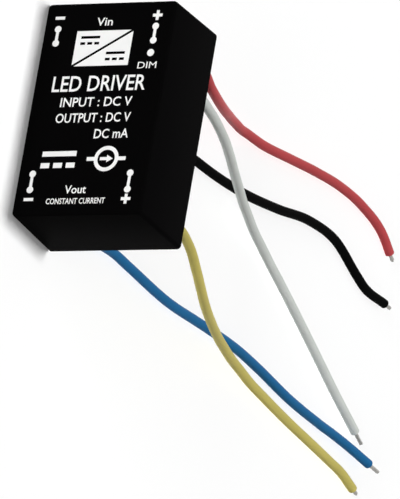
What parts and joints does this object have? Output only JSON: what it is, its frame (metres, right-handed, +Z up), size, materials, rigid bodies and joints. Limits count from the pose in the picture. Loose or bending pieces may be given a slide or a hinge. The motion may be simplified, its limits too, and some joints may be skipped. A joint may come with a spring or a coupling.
{
  "type": "led driver",
  "caption": "Potted rectangular constant-current LED driver module in a black drafted case, with coloured wire leads out of its filled back for input, dimming and output.",
  "frame": {"origin": "centre of the case's long side that it stands on, at floor level", "axes": "+Z up, +X along the case towards its output end, +Y from the label out of the filled back, the way the wires trail"},
  "size_m": [0.0452, 0.1214, 0.0203],
  "materials": {
    "case_plastic": "fine moulded texture, satin",
    "potting": "cast epoxy",
    "board": "solder mask",
    "ferrite": "ground ferrite",
    "copper": "enamelled copper wire",
    "chip_epoxy": "moulded epoxy",
    "tin": "tin plate",
    "capacitor_ceramic": "fired ceramic",
    "resistor_ceramic": "glazed",
    "solder": "bright solder",
    "tinned_copper": "tinned strands",
    "red_insulation": "wire insulation, satin",
    "white_insulation": "wire insulation, satin",
    "black_insulation": "wire insulation, satin",
    "blue_insulation": "wire insulation, satin",
    "yellow_insulation": "wire insulation, satin"
  },
  "bodies": {
    "root": {"case": "case_plastic", "potting_compound": "potting", "circuit_board": "board", "inductor_shield": "ferrite", "inductor_core": "ferrite", "inductor_winding": "copper", "filter_core": "ferrite", "filter_winding": "copper", "controller_body": "chip_epoxy", "controller_leads": "tin", "switch_body": "chip_epoxy", "switch_leads": "tin", "diode_body": "chip_epoxy", "diode_terminals": "tin", "output_capacitors": "capacitor_ceramic", "output_capacitor_ends": "tin", "input_capacitors": "capacitor_ceramic", "input_capacitor_ends": "tin", "sense_resistors": "resistor_ceramic", "sense_resistor_ends": "tin", "small_capacitors": "capacitor_ceramic", "small_capacitor_ends": "tin", "small_resistors": "resistor_ceramic", "small_resistor_ends": "tin", "conductor_ends": "tinned_copper", "solder_joints": "solder", "red_wire": "red_insulation", "white_wire": "white_insulation", "black_wire": "black_insulation", "blue_wire": "blue_insulation", "yellow_wire": "yellow_insulation", "red_wire_tip": "tinned_copper", "white_wire_tip": "tinned_copper", "black_wire_tip": "tinned_copper", "blue_wire_tip": "tinned_copper", "yellow_wire_tip": "tinned_copper"}
  },
  "joints": []
}
